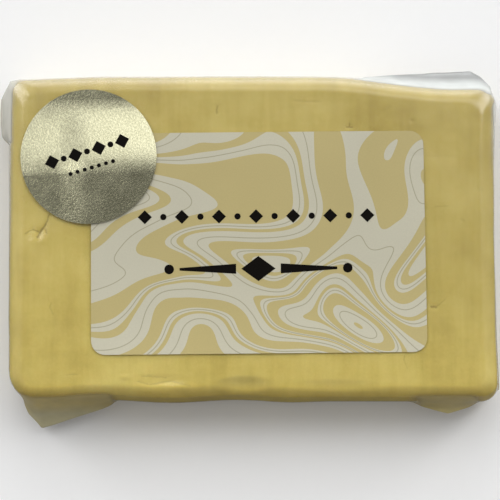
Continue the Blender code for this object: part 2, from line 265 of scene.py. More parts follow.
def top_height(x, y):
    """Height of the film's upper surface over points of the finished plan, clear of the corners."""
    plain_x, plain_y = unbend_plan(x, y)
    inset = np.minimum(
        np.minimum(plain_x - LEFT, RIGHT - plain_x), np.minimum(plain_y - BOTTOM, TOP - plain_y)
    )
    into_roll = np.clip((UPPER_ROLL[0] - inset) / UPPER_ROLL[0], 0.0, 1.0)
    return dome_height(plain_x, plain_y) - UPPER_ROLL[1] * (1.0 - np.sqrt(1.0 - into_roll**2))


def hill(x, y, centre, half):
    """1 at a centre, falling evenly to 0 at an ellipse with those half-lengths."""
    away = np.hypot((x - centre[0]) / half[0], (y - centre[1]) / half[1])
    return 1.0 - smooth(0.0, 1.0, away)


def relief_height(x, y):
    """Sum of the hollows and lumps that the film shares with the cheese."""
    return sum(rise * hill(x, y, centre, half) for centre, half, rise in RELIEF.values())


def ring_places(cells):
    """The side and the share of that side of every point round the slab's edge."""
    sides, shares = [], []
    for side in range(4):
        even = np.arange(cells[side % 2]) / cells[side % 2]
        shares.append(mix(even, 0.5 - 0.5 * np.cos(math.pi * even), CLUSTERING))
        sides.append(np.full(len(even), side))
    return np.concatenate(sides), np.concatenate(shares)


def corner_of(name, inset):
    """Centre and radius of one rounded corner of the outline that lies inset inside the plain plan."""
    outer = CORNER_RADII[name]
    radius = np.maximum(outer - inset, np.minimum(INNER_RADIUS, outer + INNER_GROWTH * inset))
    reach = inset + radius
    x = LEFT + reach if "left" in name else RIGHT - reach
    y = BOTTOM + reach if "bottom" in name else TOP - reach
    return x, y, radius


def edge_points(places, inset):
    """Plain plan points and outward angles at places on the outline that lies inset inside the edge."""
    sides, shares = places
    inset = np.broadcast_to(inset, shares.shape)
    x, y, angles = np.zeros(len(shares)), np.zeros(len(shares)), np.zeros(len(shares))
    for side in range(4):
        here = sides == side
        names = CORNER_ORDER[side], CORNER_ORDER[(side + 1) % 4]
        edge = [corner_of(name, 0.0) for name in names]
        first, second = (corner_of(name, inset[here]) for name in names)
        arcs = [corner[2] * math.pi / 4 for corner in edge]
        straight = abs(edge[1][side % 2] - edge[0][side % 2])
        travelled = shares[here] * (arcs[0] + straight + arcs[1])
        before = np.minimum(travelled - arcs[0], 0.0) / edge[0][2]
        after = np.maximum(travelled - arcs[0] - straight, 0.0) / edge[1][2]
        run = np.clip((travelled - arcs[0]) / straight, 0.0, 1.0)
        angles[here] = math.radians(90.0 * side - 90.0) + before + after
        radius = mix(first[2], second[2], run)
        x[here] = mix(first[0], second[0], run) + radius * np.cos(angles[here])
        y[here] = mix(first[1], second[1], run) + radius * np.sin(angles[here])
    return x, y, angles


def ear_reach(x, y, angles):
    """How far the film stands out of the slab's edge at each point, along its normal."""
    normal_x, normal_y = np.cos(angles), np.sin(angles)
    reach = np.full(len(x), LEAST_EAR)
    for edge in EAR_EDGES.values():
        for (ax, ay), (bx, by) in zip(edge, edge[1:]):
            cross = normal_x * (by - ay) - normal_y * (bx - ax)
            cross = np.where(np.abs(cross) < 1e-9, 1e-9, cross)
            distance = ((ax - x) * (by - ay) - (ay - y) * (bx - ax)) / cross
            place = ((ax - x) * normal_y - (ay - y) * normal_x) / cross
            meets = (place >= 0.0) & (place <= 1.0) & (distance > 0.0) & (distance < LONGEST_EAR)
            reach = np.where(meets, np.maximum(reach, distance), reach)
    return reach


def seam_height(x, y, reach):
    """Height of the seam where the film's two sheets meet."""
    across = (x - LEFT) / (RIGHT - LEFT)
    along = (y - BOTTOM) / (TOP - BOTTOM)
    low = mix(SEAM_HEIGHTS["bottom_left"], SEAM_HEIGHTS["bottom_right"], across)
    high = mix(SEAM_HEIGHTS["top_left"], SEAM_HEIGHTS["top_right"], across)
    return mix(low, high, along) - SEAM_DROOP * reach


def bezier(points, share):
    """(distance, height) at a share of a cubic curve with four control points."""
    rest = 1.0 - share
    weights = (rest**3, 3 * rest**2 * share, 3 * rest * share**2, share**3)
    return [sum(w * p[axis] for w, p in zip(weights, points)) for axis in range(2)]


def roll_width(angles):
    """Width of the rolled edge below the face, which is widest at +Y and narrowest at -Y."""
    return UPPER_ROLL[0] + ROLL_SKEW * np.sin(angles)


def side_profile(reach, seam, shoulder, wide, steps):
    """(distance out of the edge, height) of every row below the face, for every point round it."""
    deep = UPPER_ROLL[1]
    half = SEAM_THICKNESS / 2
    ear = smooth(LEAST_EAR, FULL_EAR, reach)
    zero = np.zeros(len(reach))
    rows = []
    for angle in np.linspace(0.0, ROLL_TURN, steps["roll"] + 1)[1:]:
        rows.append((zero - wide * (1 - math.sin(angle)), shoulder - deep * (1 - math.cos(angle))))
    leave = rows[-1]
    edge = (reach, seam + half)
    heading = (zero + LEAVE_OUT, leave[1] - LEAVE_DROP)
    sheet = (leave, heading, (UPPER_SHARE * reach, edge[1] + UPPER_RISE), edge)
    for share in np.linspace(0.0, 1.0, steps["side"] + 1)[1:]:
        angle = mix(ROLL_TURN, math.pi / 2, share)
        on_slab = (zero - wide * (1 - math.sin(angle)), mix(leave[1], edge[1], share))
        rows.append([mix(a, b, ear) for a, b in zip(on_slab, bezier(sheet, share))])
    edge = (reach, seam - half)
    land = (zero, np.minimum(LOWER_ROLL[1], seam - LEAST_WALL))
    sheet = (edge, (LOWER_SHARE * reach, edge[1]), (zero, edge[1] - LOWER_DROP), land)
    for share in np.linspace(0.0, 1.0, steps["side"] + 1):
        on_slab = (zero, mix(edge[1], land[1], share))
        rows.append([mix(a, b, ear) for a, b in zip(on_slab, bezier(sheet, share))])
    for angle in np.linspace(math.pi / 2, 0.0, steps["low"] + 1)[1:]:
        rows.append((zero - LOWER_ROLL[0] * (1 - math.sin(angle)), land[1] * (1 - math.cos(angle))))
    return rows


def face_grid(places, cells):
    """Plain plan points of the labelled face, filled in from its border."""
    across, along = cells
    angles = edge_points(places, 0.0)[2]
    border = np.stack(edge_points(places, roll_width(angles))[:2], axis=1)
    border = np.concatenate([border, border[:1]])
    bottom = border[: across + 1]
    right = border[across : across + along + 1]
    top = border[across + along : 2 * across + along + 1][::-1]
    left = border[2 * across + along :][::-1]
    u = np.linspace(0.0, 1.0, across + 1)[None, :, None]
    v = np.linspace(0.0, 1.0, along + 1)[:, None, None]
    corners = mix(mix(bottom[0], bottom[-1], u), mix(top[0], top[-1], u), v)
    return mix(bottom[None], top[None], v) + mix(left[:, None], right[:, None], u) - corners


def slab_surface(cells, steps, ears):
    """Points and faces of the closed surface round the slab, with or without the film's ears.

    Two more numbers go with each point: how far out of the slab's edge it lies, and how much it is in an ear,
    from 0 to 1.
    """
    places = ring_places(cells)
    grid = face_grid(places, cells)
    rows_down, across = grid.shape[:2]
    x, y = bend_plan(grid[..., 0], grid[..., 1])
    z = dome_height(grid[..., 0], grid[..., 1]) + relief_height(x, y)
    points = [np.stack([x, y, z], axis=-1).reshape(-1, 3)]
    outward = [np.full(rows_down * across, -UPPER_ROLL[0])]
    in_ear = [np.zeros(rows_down * across)]
    index = np.arange(rows_down * across).reshape(rows_down, across)
    faces = [grid_faces(index)]
    upper = np.concatenate([index[0, :-1], index[:-1, -1], index[-1, :0:-1], index[:0:-1, 0]])
    plain_x, plain_y, angles = edge_points(places, 0.0)
    edge_x, edge_y = bend_plan(plain_x, plain_y)
    reach = ear_reach(edge_x, edge_y, angles) if ears else np.full(len(angles), NO_EAR)
    seam = seam_height(edge_x, edge_y, reach)
    wide = roll_width(angles)
    shoulder = dome_height(*edge_points(places, wide)[:2])
    total = len(points[0])
    for level, (out, height) in enumerate(side_profile(reach, seam, shoulder, wide, steps)):
        inner_x, inner_y, _ = edge_points(places, np.maximum(-out, 0.0))
        x, y = bend_plan(inner_x, inner_y)
        x = x + np.maximum(out, 0.0) * np.cos(angles)
        y = y + np.maximum(out, 0.0) * np.sin(angles)
        if level < steps["roll"]:
            height = height + relief_height(x, y)
        points.append(np.stack([x, y, height], axis=1))
        outward.append(out)
        under_seam = level >= steps["roll"] + steps["side"]
        loose = smooth(LOOSE_START, LOOSE_FULL, out) if under_seam else 1.0
        in_ear.append(smooth(LEAST_EAR, FULL_EAR, reach) * loose)
        lower = total + np.arange(len(out))
        total += len(out)
        faces.append(quads(upper, lower, np.roll(lower, -1), np.roll(upper, -1)))
        upper = lower
    faces.append([upper.tolist()])
    return np.concatenate(points), sum(faces, []), np.concatenate(outward), np.concatenate(in_ear)


def quads(a, b, c, d):
    """Faces from four equal arrays of vertex numbers."""
    return np.stack([a, b, c, d], axis=-1).reshape(-1, 4).tolist()


def grid_faces(index):
    """Faces of a grid of vertex numbers."""
    return quads(index[:-1, :-1], index[:-1, 1:], index[1:, 1:], index[1:, :-1])


def new_piece(name, points, faces, material):
    """A piece that rides with the pack, from points in millimetres."""
    mesh = bpy.data.meshes.new(name)
    mesh.from_pydata((np.asarray(points) * MM).tolist(), [], faces)
    mesh.update()
    mesh.shade_smooth()
    mesh.materials.append(material)
    piece = bpy.data.objects.new(name, mesh)
    bpy.context.scene.collection.objects.link(piece)
    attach(piece, "root")
    return piece


def vertex_normals(points, faces):
    """Outward normals of a mesh's vertices."""
    mesh = bpy.data.meshes.new("normals")
    mesh.from_pydata(np.asarray(points).tolist(), [], faces)
    mesh.update()
    normals = np.zeros(len(points) * 3, np.float32)
    mesh.vertices.foreach_get("normal", normals)
    bpy.data.meshes.remove(mesh)
    return normals.reshape(-1, 3).astype(float)


def moved_out(points, faces, height, floor):
    """Points, moved along their normals by a height of their own and kept above the floor."""
    moved = points + vertex_normals(points, faces) * height[:, None]
    moved[:, 2] = np.maximum(moved[:, 2], floor)
    return moved


def store(piece, name, values):
    """Keeps one number for each vertex, for the material to read."""
    attribute = piece.data.attributes.new(name, "FLOAT", "POINT")
    attribute.data.foreach_set("value", np.asarray(values, np.float32))


def stroke_weight(x, y, start, end, half_width):
    """1 along the middle of a stroke, falling to 0 at its half-width."""
    run_x, run_y = end[0] - start[0], end[1] - start[1]
    share = ((x - start[0]) * run_x + (y - start[1]) * run_y) / (run_x**2 + run_y**2)
    share = np.clip(share, 0.0, 1.0)
    away = np.hypot(x - start[0] - run_x * share, y - start[1] - run_y * share)
    return 1.0 - smooth(0.0, 1.0, away / half_width)


def marks_depth(x, y, share, spread):
    """A share of the small marks' depth, with each mark spread to so many half-widths."""
    depths = 0.0
    for start, end, half_width, depth, _ in MARKS:
        depths = depths + share * depth * stroke_weight(x, y, start, end, half_width * spread)
    return depths


def shared_relief(points):
    """Height of the slab's unevenness, which the tight film follows."""
    x, y, _ = points.T
    lumps = sum(rise * hill(x, y, centre, half) for centre, half, rise in LUMPS)
    return unevenness(points, SLAB_LAYERS) - marks_depth(x, y, *SLAB_MARKS) + lumps


def cheese_relief(points):
    """Height of the cheese's own surface under the film, from cloth streaks, cracks and pits."""
    x, y, z = points.T
    stretched = np.stack([x, y * CLOTH_STRETCH[0], z * CLOTH_STRETCH[1]], axis=1)
    return unevenness(stretched, CLOTH_LAYERS) - CLOTH_DEPTH - marks_depth(x, y, *CHEESE_MARKS)


def make_cheese():
    points, faces, _, _ = slab_surface(CHEESE_CELLS, CHEESE_STEPS, ears=False)
    relief = shared_relief(points) + cheese_relief(points)
    height = relief * smooth(UNEVEN_FROM, UNEVEN_FULL, points[:, 2]) - CHEESE_INSET
    moved = moved_out(points, faces, height, CHEESE_INSET)
    return new_piece("cheese_block", moved, faces, cheese_material())


def film_folds(points, outward):
    """Height of the loose film's small folds, in the ears alone."""
    return unevenness(points * FOLD_STRETCH, FOLD_LAYERS) * np.clip(outward / FOLD_REACH, 0.0, 1.0)


def make_film():
    points, faces, outward, in_ear = slab_surface(FILM_CELLS, FILM_STEPS, ears=True)
    heights = points[:, 2]
    tight = 1.0 - smooth(LOOSE_START, LOOSE_FULL, outward)
    relief = shared_relief(points) * smooth(UNEVEN_FROM, UNEVEN_FULL, heights) * tight
    folds = film_folds(points, outward) * smooth(FOLDED_FROM, FOLDED_FULL, heights)
    moved = moved_out(points, faces, relief + folds - FILM_INSET, 0.0)
    piece = new_piece("film_wrap", moved, faces, film_material())
    store(piece, "outward", outward)
    upper = smooth(*SIDES_MEET, points[:, 1])
    store(piece, "haze", in_ear * smooth(mix(*HAZE_START, upper), mix(*HAZE_FULL, upper), outward))
    return piece


def label_axes(x, y):
    """Points of the plan, measured from the label's centre along its own two directions."""
    from_x, from_y = x - LABEL_CENTRE[0], y - LABEL_CENTRE[1]
    return from_x * LABEL_COS + from_y * LABEL_SIN, from_y * LABEL_COS - from_x * LABEL_SIN


def label_plan(x, y):
    """Where points of the label, measured from its centre, lie in the plan."""
    return LABEL_CENTRE[0] + x * LABEL_COS - y * LABEL_SIN, LABEL_CENTRE[1] + x * LABEL_SIN + y * LABEL_COS


def outside_label(x, y):
    """Distance from points of the plan to the label, and 0 on it."""
    over = [np.maximum(np.abs(a) - size / 2, 0.0) for a, size in zip(label_axes(x, y), LABEL_SIZE)]
    return np.hypot(*over)


def label_top(x, y):
    """Height of the label's printed side."""
    start, end, half_width, depth = CREASE
    crease = depth * stroke_weight(x, y, start, end, half_width)
    lift = STUCK_GAP + PAPER_THICKNESS + LABEL_LIFT
    return top_height(x, y) + lift + plan_unevenness(x, y, PAPER_LAYERS) - crease


def label_grid(cells, corner_steps):
    """Plan points of the label, as rows from its lower edge up."""
    half_x, half_y = LABEL_SIZE[0] / 2, LABEL_SIZE[1] / 2
    straight = half_y - LABEL_CORNER
    turns = np.linspace(0.0, math.pi / 2, corner_steps + 1)
    even = np.linspace(0.0, straight, cells[1] // 2 + 1)[:-1]
    levels = np.concatenate([even, straight + LABEL_CORNER * np.sin(turns)])
    halves = np.concatenate([np.full(len(even), half_x), half_x - LABEL_CORNER * (1 - np.cos(turns))])
    levels = np.concatenate([-levels[:0:-1], levels])
    halves = np.concatenate([halves[:0:-1], halves])
    across = np.linspace(-1.0, 1.0, cells[0] + 1)
    return label_plan(halves[:, None] * across[None, :], levels[:, None] + 0.0 * across[None, :])


def thickened(piece, thickness):
    """Turns a piece's open sheet into a closed one by adding its underside and its cut edge."""
    solidify = piece.modifiers.new("Thickness", "SOLIDIFY")
    solidify.thickness = thickness * MM
    solidify.offset = -1.0
    sheet = piece.data
    graph = bpy.context.evaluated_depsgraph_get()
    piece.data = bpy.data.meshes.new_from_object(piece.evaluated_get(graph))
    piece.data.set_sharp_from_angle(angle=math.radians(SHARP_ANGLE))
    piece.modifiers.remove(solidify)
    bpy.data.meshes.remove(sheet)
    return piece


def make_label():
    x, y = label_grid(LABEL_CELLS, LABEL_CORNER_STEPS)
    points = np.stack([x, y, label_top(x, y)], axis=-1).reshape(-1, 3)
    faces = grid_faces(np.arange(x.size).reshape(x.shape))
    piece = new_piece("paper_label", points, faces, paper_material())
    return thickened(piece, PAPER_THICKNESS)


def sticker_top(x, y):
    """Height of the stiff sticker's upper side, which climbs onto the label and juts over the rolled edge."""
    beside = smooth(STEP_START, STEP_START + STEP_WIDTH, outside_label(x, y))
    step = (PAPER_THICKNESS + STEP_GAP) * (1 - beside)
    lie = STICKER_SLOPE[0] * (x - STICKER_CENTRE[0]) + STICKER_SLOPE[1] * (y - STICKER_CENTRE[1])
    base = dome_height(*unbend_plan(*STICKER_CENTRE)) + STUCK_GAP * 2 + FOIL_THICKNESS + STICKER_LIFT
    return base + lie + step + plan_unevenness(x, y, FOIL_LAYERS)


def make_sticker():
    radii = STICKER_RADIUS * np.linspace(STICKER_HUB, 1.0, STICKER_RINGS + 1)[:, None]
    angles = np.linspace(0.0, 2 * math.pi, STICKER_SPOKES, endpoint=False)[None, :]
    x = STICKER_CENTRE[0] + radii * np.cos(angles)
    y = STICKER_CENTRE[1] + radii * np.sin(angles)
    z = sticker_top(x, y)
    index = np.arange(x.size).reshape(x.shape)
    after = np.roll(index, -1, axis=1)
    faces = quads(index[:-1], index[1:], after[1:], after[:-1]) + [index[0].tolist()]
    points = np.stack([x, y, z], axis=-1).reshape(-1, 3)
    piece = new_piece("foil_sticker", points, faces, foil_material())
    return thickened(piece, FOIL_THICKNESS)


def node(tree, kind, inputs=None, **settings):
    """Adds a shader node. An input takes a value or another node's output."""
    made = tree.nodes.new("ShaderNode" + kind)
    for name, value in settings.items():
        setattr(made, name, value)
    for name, value in (inputs or {}).items():
        if isinstance(value, bpy.types.NodeSocket):
            tree.links.new(value, made.inputs[name])
        else:
            made.inputs[name].default_value = value
    return made


def maths(tree, operation, *values, clamp=False):
    made = node(tree, "Math", dict(enumerate(values)), operation=operation, use_clamp=clamp)
    return made.outputs[0]


def product(tree, first, *others):
    for value in others:
        first = maths(tree, "MULTIPLY", first, value)
    return first


def vectors(tree, operation, *values, output=0):
    return node(tree, "VectorMath", dict(enumerate(values)), operation=operation).outputs[output]


def blend_colour(tree, share, first, second):
    made = node(tree, "Mix", {0: share, 6: first, 7: second}, data_type="RGBA")
    return made.outputs[2]


def tinted(tree, share, colour, tint):
    """A colour, multiplied by the tint to that share."""
    return blend_colour(tree, share, colour, vectors(tree, "MULTIPLY", colour, tint))


def ramp(tree, value, low, high, start=0.0, end=1.0, curve="LINEAR"):
    """Goes from start, where the value is low, to end, where it is high, and is level beyond them."""
    inputs = {"Value": value, "From Min": low, "From Max": high, "To Min": start, "To Max": end}
    return node(tree, "MapRange", inputs, interpolation_type=curve).outputs[0]


def fine_noise(tree, place, scale, detail=2.0, roughness=0.5, output=0):
    """Noise at a place: one number, or three of them from the output Color."""
    inputs = {"Vector": place, "Scale": scale, "Detail": detail, "Roughness": roughness}
    return node(tree, "TexNoise", inputs).outputs[output]


def centred_noise(tree, place, scale, detail=2.0):
    """Noise at a place as a vector, each part of it from -0.5 to 0.5."""
    return vectors(tree, "SUBTRACT", fine_noise(tree, place, scale, detail, output="Color"), (0.5, 0.5, 0.5))


def bump_map(tree, strength, distance, height):
    return node(tree, "Bump", {"Strength": strength, "Distance": distance, "Height": height}).outputs[0]


def new_material(name):
    """A material with only its output node, and that material's object coordinates in metres."""
    made = bpy.data.materials.new(name)
    made.use_nodes = True
    made.node_tree.nodes.clear()
    output = node(made.node_tree, "OutputMaterial")
    coordinates = node(made.node_tree, "TexCoord").outputs["Object"]
    return made, made.node_tree, output, coordinates


def cover(tree, output, inputs):
    """Makes a principled shader with those inputs the material's surface."""
    shader = node(tree, "BsdfPrincipled", inputs)
    tree.links.new(shader.outputs[0], output.inputs[0])


def new_group(name, inputs, result):
    """A node group that works out one number, with its input sockets and the socket for its result."""
    tree = bpy.data.node_groups.new(name, "ShaderNodeTree")
    for socket, kind in inputs.items():
        tree.interface.new_socket(socket, in_out="INPUT", socket_type="NodeSocket" + kind)
    tree.interface.new_socket(result, in_out="OUTPUT", socket_type="NodeSocketFloat")
    given = tree.nodes.new("NodeGroupInput").outputs
    return tree, given, tree.nodes.new("NodeGroupOutput").inputs[0]


def stroke_group():
    """A node group that is 1 along the middle of a stroke and 0 beyond its half-width."""
    sockets = {"Place": "Vector", "Start": "Vector", "Run": "Vector", "Width": "Float"}
    tree, given, result = new_group("stroke", sockets, "Weight")
    away = vectors(tree, "SUBTRACT", given["Place"], given["Start"])
    along = vectors(tree, "DOT_PRODUCT", away, given["Run"], output=1)
    square = vectors(tree, "DOT_PRODUCT", given["Run"], given["Run"], output=1)
    share = maths(tree, "DIVIDE", along, square, clamp=True)
    nearest = node(tree, "VectorMath", {0: given["Run"], "Scale": share}, operation="SCALE").outputs[0]
    distance = vectors(tree, "LENGTH", vectors(tree, "SUBTRACT", away, nearest), output=1)
    ratio = maths(tree, "DIVIDE", distance, given["Width"])
    tree.links.new(ramp(tree, ratio, 0.0, 1.0, 1.0, 0.0, "SMOOTHSTEP"), result)
    return tree


# Brown painted shade in the cracks and pits: its colour, spread, strength and wobble
MARK_SHADE_BROWN = (0.30, 0.215, 0.05, 1.0)
MARK_SPREAD, MARK_STRENGTH = 1.05, 0.8
MARK_WOBBLE = (0.0007, 0.0007, 0.0)


def marks_painted_shade(tree, place):
    """How dark the painted shade in the cracks and pits makes the cheese at a point."""
    flat = vectors(tree, "MULTIPLY", place, (1.0, 1.0, 0.0))
    place = vectors(tree, "MULTIPLY_ADD", centred_noise(tree, place, 900.0), MARK_WOBBLE, flat)
    group = stroke_group()
    total = 0.0
    for (x, y), (end_x, end_y), half_width, _, dark in MARKS:
        inputs = {
            "Place": place,
            "Start": (x * MM, y * MM, 0.0),
            "Run": ((end_x - x) * MM, (end_y - y) * MM, 0.0),
            "Width": half_width * MARK_SPREAD * MM,
        }
        stroke = node(tree, "Group", inputs, node_tree=group).outputs[0]
        total = maths(tree, "MAXIMUM", total, maths(tree, "MULTIPLY", stroke, dark * MARK_STRENGTH))
    return total


CHEESE_DEEP = (0.602, 0.468, 0.111, 1.0)
CHEESE_MID = (0.706, 0.565, 0.149, 1.0)
CHEESE_PALE = (0.797, 0.655, 0.200, 1.0)

# Noise in the cheese's tone: stretch of its coordinates, scale, detail, roughness and weight in the sum
CHEESE_NOISE = {
    "broad": ((1.0, 1.0, 1.0), 42.0, 2.0, 0.45, 0.55),
    "mottle": ((1.0, 1.0, 1.0), 110.0, 5.0, 0.6, 0.50),
    "streak": ((1.0, 0.08, 0.3), 420.0, 3.0, 0.55, 0.28),
    "weft": ((0.12, 1.0, 0.3), 520.0, 2.0, 0.5, 0.06),
    "speck": ((1.0, 1.0, 1.0), 1800.0, 2.0, 0.6, 0.12),
}
MEAN_TONE, DEEP_TONE, PALE_TONE = 0.755, -0.16, 0.18

# Painted shade: the cheese is a little darker up the face, and to the right above the pair SHADE_ABOVE, and
# darker and yellower in its lower wall. Each pair, in metres, is where that begins and where it is full.
CHEESE_PAINTED_SHADE, WALL_PAINTED_SHADE = (0.78, 0.77, 0.78), (1.0, 0.92, 0.56)
SHADE_UP, SHADE_RIGHT, SHADE_ABOVE = (-0.037, 0.040), (0.02, 0.05), (-0.035, -0.015)
RIGHT_SHARE = 0.42
LOWER_WALL = (-0.0375, -0.0415)


def cheese_material():
    """Golden cheese, mottled and streaked, with painted shade up the face, in its lower wall, cracks and pits.
    """
    made, tree, output, place = new_material("halloumi_cheese")
    layers = {}
    tone = -MEAN_TONE
    for name, (stretch, scale, detail, roughness, weight) in CHEESE_NOISE.items():
        layers[name] = fine_noise(tree, vectors(tree, "MULTIPLY", place, stretch), scale, detail, roughness)
        tone = maths(tree, "MULTIPLY_ADD", layers[name], weight, tone)
    colour = blend_colour(tree, ramp(tree, tone, DEEP_TONE, 0.0), CHEESE_DEEP, CHEESE_MID)
    colour = blend_colour(tree, ramp(tree, tone, 0.0, PALE_TONE), colour, CHEESE_PALE)
    x, y, _ = node(tree, "SeparateXYZ", {0: place}).outputs
    # Painted shade up the face, at the upper right and in the lower wall
    right = product(tree, ramp(tree, x, *SHADE_RIGHT), ramp(tree, y, *SHADE_ABOVE), RIGHT_SHARE)
    colour = tinted(tree, maths(tree, "ADD", ramp(tree, y, *SHADE_UP), right), colour, CHEESE_PAINTED_SHADE)
    colour = tinted(tree, ramp(tree, y, *LOWER_WALL), colour, WALL_PAINTED_SHADE)
    # Painted shade in the cracks and pits
    colour = blend_colour(tree, marks_painted_shade(tree, place), colour, MARK_SHADE_BROWN)
    bumps = maths(tree, "MULTIPLY_ADD", layers["streak"], 0.7, maths(tree, "MULTIPLY", layers["speck"], 0.3))
    cover(tree, output, {
        "Base Color": colour,
        "Roughness": 0.6,
        "Normal": bump_map(tree, 0.22, 0.00025, bumps),
        "Specular IOR Level": 0.05,
        "Subsurface Weight": 0.22,
        "Subsurface Radius": (1.0, 0.62, 0.25),
        "Subsurface Scale": 0.0025,
    })
    return made


HEAD_ON_GLOSS, GRAZING_GLOSS, GLOSS_POWER = 0.075, 0.35, 3.5
FILM_CLEAR = (0.97, 0.97, 0.955, 1.0)

# The ears' haze: grey at the upper left, and at the upper right a painted white reflection near the slab,
# greying further out. At the lower side it is brown near the slab, and further out olive at the left and ochre
# at the
# right: partly the milky film's own colour, partly painted shade and painted reflection of the cheese.
EAR_GREY = (0.58, 0.565, 0.475, 1.0)
EAR_PAINTED_REFLECTION = (0.69, 0.73, 0.715, 1.0)
EAR_COOL = (0.31, 0.32, 0.315, 1.0)
EAR_BROWN_SHADE = (0.62, 0.48, 0.12, 1.0)
EAR_OLIVE_SHADE = (0.59, 0.53, 0.29, 1.0)
EAR_OCHRE_SHADE = (0.84, 0.71, 0.29, 1.0)
HAZE_DENSITY = (0.80, 0.96)
EAR_AWAY = (0.8, 3.2)
EAR_RIGHT, EAR_LOWER = (0.0, 0.03), (0.01, -0.03)

# A painted highlight: the pale veil on the film over the upper rolled edge
PAINTED_HIGHLIGHT, PAINTED_HIGHLIGHT_PALE = 0.36, (0.90, 0.90, 0.85, 1.0)
PAINTED_HIGHLIGHT_ROLL, PAINTED_HIGHLIGHT_EDGE = (-5.2, -1.4), (0.036, 0.042)


def film_material():
    """Clear film, glossiest at grazing angles, hazy in the ears, whose tints hold painted shade and
    reflection, and veiled over the upper rolled edge with a painted highlight.
    """
    made, tree, output, place = new_material("clear_film")
    outward = node(tree, "Attribute", attribute_name="outward").outputs["Fac"]
    hazy = node(tree, "Attribute", attribute_name="haze").outputs["Fac"]
    x, y, _ = node(tree, "SeparateXYZ", {0: place}).outputs
    away, right = ramp(tree, outward, *EAR_AWAY), ramp(tree, x, *EAR_RIGHT)
    # Ear tints: a painted reflection at the upper right, painted shade and reflection of the cheese at the
    # lower side
    above = blend_colour(tree, right, EAR_GREY, blend_colour(tree, away, EAR_PAINTED_REFLECTION, EAR_COOL))
    below = blend_colour(tree, away, EAR_BROWN_SHADE, blend_colour(tree, right, EAR_OLIVE_SHADE, EAR_OCHRE_SHADE))
    tint = blend_colour(tree, ramp(tree, y, *EAR_LOWER), above, below)
    # Painted highlight: a pale veil on the film over the upper rolled edge, which also pales its colour there
    rim, upper_edge = ramp(tree, outward, *PAINTED_HIGHLIGHT_ROLL), ramp(tree, y, *PAINTED_HIGHLIGHT_EDGE)
    painted_highlight = product(tree, rim, rim, upper_edge, PAINTED_HIGHLIGHT)
    tint = blend_colour(tree, upper_edge, tint, blend_colour(tree, hazy, PAINTED_HIGHLIGHT_PALE, tint))
    density = ramp(tree, fine_noise(tree, place, 160.0, 3.0), 0.3, 0.7, *HAZE_DENSITY)
    opacity = maths(tree, "MAXIMUM", maths(tree, "MULTIPLY", hazy, density), painted_highlight)
    bump = bump_map(tree, 0.06, 0.0004, fine_noise(tree, place, 260.0, 3.0))
    clear = node(tree, "BsdfTransparent", {"Color": FILM_CLEAR})
    haze = node(tree, "BsdfPrincipled", {"Base Color": tint, "Roughness": 0.35, "Normal": bump})
    body = node(tree, "MixShader", {0: opacity, 1: clear.outputs[0], 2: haze.outputs[0]})
    gloss = node(tree, "BsdfGlossy", {"Color": (1.0, 1.0, 1.0, 1.0), "Roughness": 0.25, "Normal": bump})
    facing = node(tree, "LayerWeight", {"Blend": 0.5, "Normal": bump}).outputs["Facing"]
    grazing = maths(tree, "POWER", facing, GLOSS_POWER)
    share = maths(tree, "MULTIPLY_ADD", grazing, GRAZING_GLOSS, HEAD_ON_GLOSS)
    film = node(tree, "MixShader", {0: share, 1: body.outputs[0], 2: gloss.outputs[0]})
    tree.links.new(film.outputs[0], output.inputs[0])
    return made


# The marbling is made of the contours of a smooth field: bands and hairlines at these parts of each cycle
MARBLE_CYCLES = 8.0
MARBLE_BANDS = ((0.04, 0.36), (0.52, 0.63))
MARBLE_LINES = (0.44, 0.86)
MARBLE_STRETCH, MARBLE_SHIFT = (0.75, 1.0, 0.0), (0.31, 0.17, 0.05)
MARBLE_WARP = (0.055, 0.045, 0.0)
MARBLE_STEP, LEAST_SLOPE = 0.0002, 0.5
HAIRLINE = 0.00013


def marble_group():
    """A node group with the smooth field whose contours are the label's marbling."""
    tree, given, result = new_group("marble_field", {"Place": "Vector"}, "Field")
    flat = vectors(tree, "MULTIPLY_ADD", given[0], MARBLE_STRETCH, MARBLE_SHIFT)
    warped = vectors(tree, "MULTIPLY_ADD", centred_noise(tree, flat, 27.0, 0.0), MARBLE_WARP, flat)
    tree.links.new(fine_noise(tree, warped, 31.0, 0.6, 0.4), result)
    return tree


def marble_masks(tree, place):
    """Masks of the ochre bands and of the hairlines."""
    group = marble_group()

    def field(shift):
        at = vectors(tree, "ADD", place, shift)
        return node(tree, "Group", {0: at}, node_tree=group).outputs[0]

    here = field((0.0, 0.0, 0.0))
    slope_x = maths(tree, "SUBTRACT", field((MARBLE_STEP, 0.0, 0.0)), here)
    slope_y = maths(tree, "SUBTRACT", field((0.0, MARBLE_STEP, 0.0)), here)
    squares = maths(tree, "MULTIPLY_ADD", slope_x, slope_x, maths(tree, "MULTIPLY", slope_y, slope_y))
    slope = maths(tree, "DIVIDE", maths(tree, "SQRT", squares), MARBLE_STEP)
    slope = maths(tree, "MAXIMUM", slope, LEAST_SLOPE)
    phase = maths(tree, "FRACT", maths(tree, "MULTIPLY", here, MARBLE_CYCLES))

    def band(low, high):
        above, below = maths(tree, "GREATER_THAN", phase, low), maths(tree, "LESS_THAN", phase, high)
        return maths(tree, "MULTIPLY", above, below)

    def hairline(level):
        wrapped = maths(tree, "WRAP", maths(tree, "SUBTRACT", phase, level), 0.5, -0.5)
        cycles = maths(tree, "DIVIDE", maths(tree, "ABSOLUTE", wrapped), MARBLE_CYCLES)
        return maths(tree, "LESS_THAN", maths(tree, "DIVIDE", cycles, slope), HAIRLINE)

    bands = maths(tree, "ADD", *(band(low, high) for low, high in MARBLE_BANDS))
    return bands, maths(tree, "MAXIMUM", *(hairline(level) for level in MARBLE_LINES))


